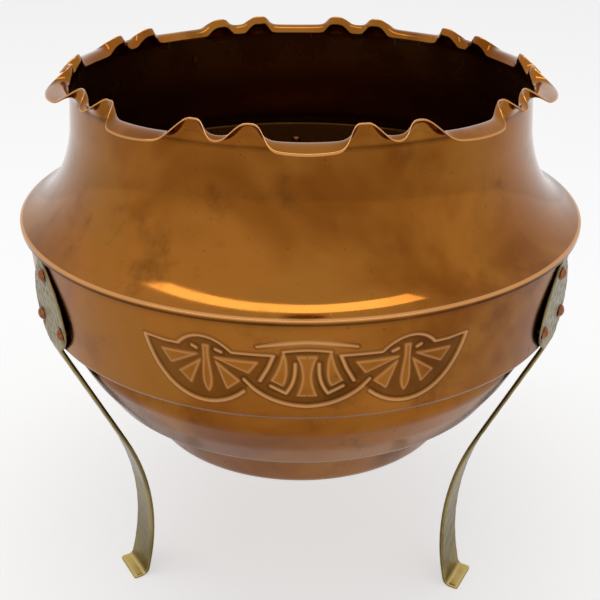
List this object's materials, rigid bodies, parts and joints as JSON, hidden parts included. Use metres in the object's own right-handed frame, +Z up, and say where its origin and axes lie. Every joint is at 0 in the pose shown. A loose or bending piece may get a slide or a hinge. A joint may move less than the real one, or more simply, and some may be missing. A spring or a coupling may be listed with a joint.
{
  "type": "footed planter bowl",
  "caption": "Round copper planter with a trumpet neck, crimped rim and stepped body, standing on riveted brass strap legs; holds a potted plant.",
  "frame": {"origin": "on the bowl's axis, at the level that the feet stand on", "axes": "+Z up along the bowl's axis; -Y is the front, midway between the left and right legs; +X to the right seen from the front"},
  "size_m": [0.29, 0.29, 0.2835],
  "materials": {
    "copper": "polished copper with brown patina",
    "brass": "hammered, dull olive brass with bright worn feet",
    "rivet_copper": "polished copper with brown patina"
  },
  "bodies": {
    "root": {"upper_shell": "copper", "lower_shell": "copper", "leg_left": "brass", "leg_right": "brass", "leg_back": "brass", "rivet_left_top": "rivet_copper", "rivet_left_first": "rivet_copper", "rivet_left_second": "rivet_copper", "rivet_right_top": "rivet_copper", "rivet_right_first": "rivet_copper", "rivet_right_second": "rivet_copper", "rivet_back_top": "rivet_copper", "rivet_back_first": "rivet_copper", "rivet_back_second": "rivet_copper"}
  },
  "joints": []
}
